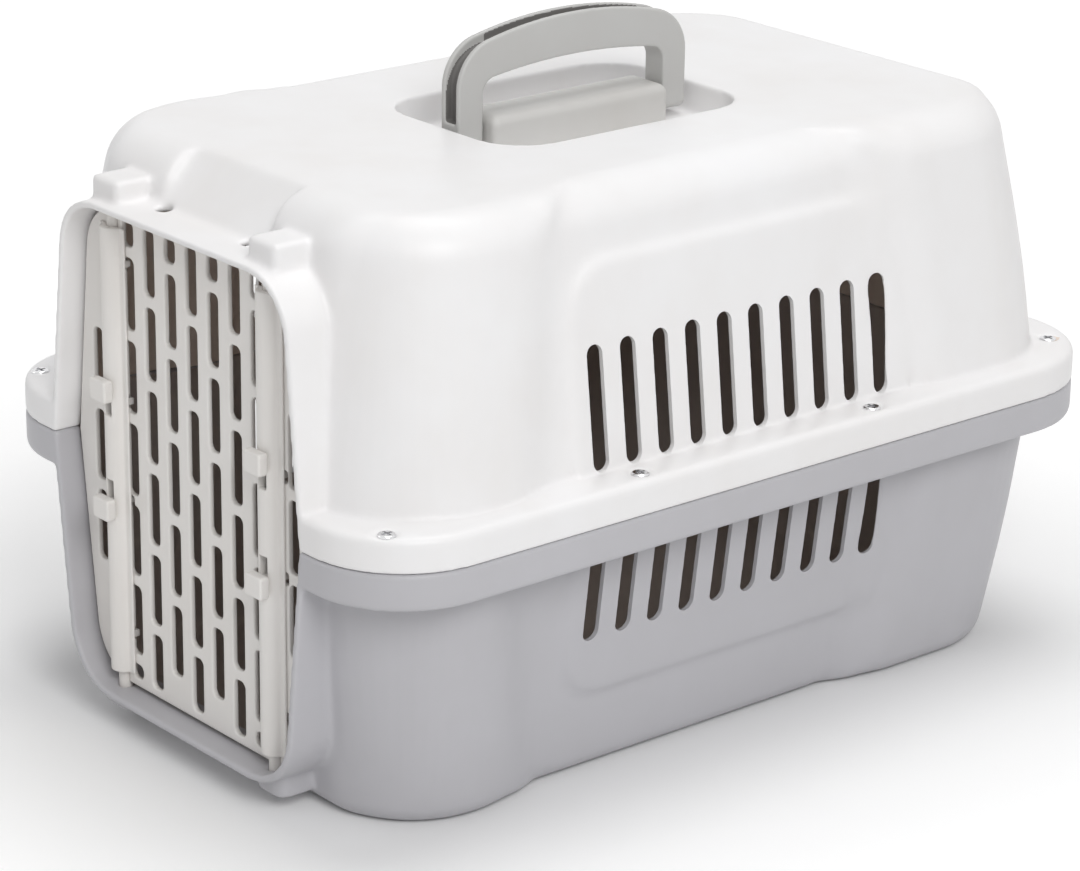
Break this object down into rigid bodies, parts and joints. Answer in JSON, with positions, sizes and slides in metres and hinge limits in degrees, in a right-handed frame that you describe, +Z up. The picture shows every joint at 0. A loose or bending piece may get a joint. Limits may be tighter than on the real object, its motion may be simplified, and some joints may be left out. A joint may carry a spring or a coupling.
{
  "type": "pet carrier",
  "caption": "Hard-shell pet carrier with a lattice front door on spring latch rods and a fold-down carrying handle.",
  "frame": {"origin": "on the floor under the middle of the carrier's length and width", "axes": "+Z up, +Y from the door towards the rear wall, X across the width"},
  "size_m": [0.322, 0.4734, 0.337],
  "materials": {
    "upper_plastic": "satin",
    "lower_plastic": "satin",
    "door_plastic": "satin",
    "handle_plastic": "satin",
    "spring_steel": "satin",
    "screw_metal": "polished"
  },
  "bodies": {
    "shell": {"upper_shell": "upper_plastic", "lower_shell": "lower_plastic", "hinge_block": "handle_plastic", "front_hinge_pin": "spring_steel", "rear_hinge_pin": "spring_steel", "hinge_block_screws": "screw_metal", "flange_screws": "screw_metal", "flange_nuts": "screw_metal"},
    "left_springs": {"upper_left_spring": "spring_steel", "lower_left_spring": "spring_steel"},
    "door": {"door_panel": "door_plastic", "left_rod_cover": "door_plastic", "right_rod_cover": "door_plastic", "upper_right_spring": "spring_steel", "lower_right_spring": "spring_steel"},
    "upper_left_latch": {"upper_left_rod": "door_plastic"},
    "lower_left_latch": {"lower_left_rod": "door_plastic"},
    "upper_right_latch": {"upper_right_rod": "door_plastic"},
    "lower_right_latch": {"lower_right_rod": "door_plastic"},
    "handle": {"handle_bail": "handle_plastic"}
  },
  "joints": [
    {"name": "door_swing_right", "type": "hinge", "parent": "shell", "child": "left_springs", "pos_m": [0.0625, -0.2237, 0.1435], "axis": [0, 0, 1], "range_deg": [0, 110]},
    {"name": "door_swing_left", "type": "hinge", "parent": "left_springs", "child": "door", "pos_m": [-0.0625, -0.2237, 0.1435], "axis": [0, 0, 1], "range_deg": [-110, 0]},
    {"name": "upper_left_draw", "type": "slide", "parent": "door", "child": "upper_left_latch", "axis": [0, 0, 1], "range_m": [-0.01, 0], "stiffness_N_per_m": 150, "springref_m": -0.012, "deforming": ["upper_left_spring"]},
    {"name": "lower_left_draw", "type": "slide", "parent": "door", "child": "lower_left_latch", "axis": [0, 0, 1], "range_m": [0, 0.01], "stiffness_N_per_m": 150, "springref_m": 0.012, "deforming": ["lower_left_spring"]},
    {"name": "upper_right_draw", "type": "slide", "parent": "door", "child": "upper_right_latch", "axis": [0, 0, 1], "range_m": [-0.01, 0], "stiffness_N_per_m": 150, "springref_m": -0.012, "deforming": ["upper_right_spring"]},
    {"name": "lower_right_draw", "type": "slide", "parent": "door", "child": "lower_right_latch", "axis": [0, 0, 1], "range_m": [0, 0.01], "stiffness_N_per_m": 150, "springref_m": 0.012, "deforming": ["lower_right_spring"]},
    {"name": "handle_fold", "type": "hinge", "parent": "shell", "child": "handle", "pos_m": [0, 0, 0.2845], "axis": [0, 1, 0], "range_deg": [-90, 90]}
  ]
}
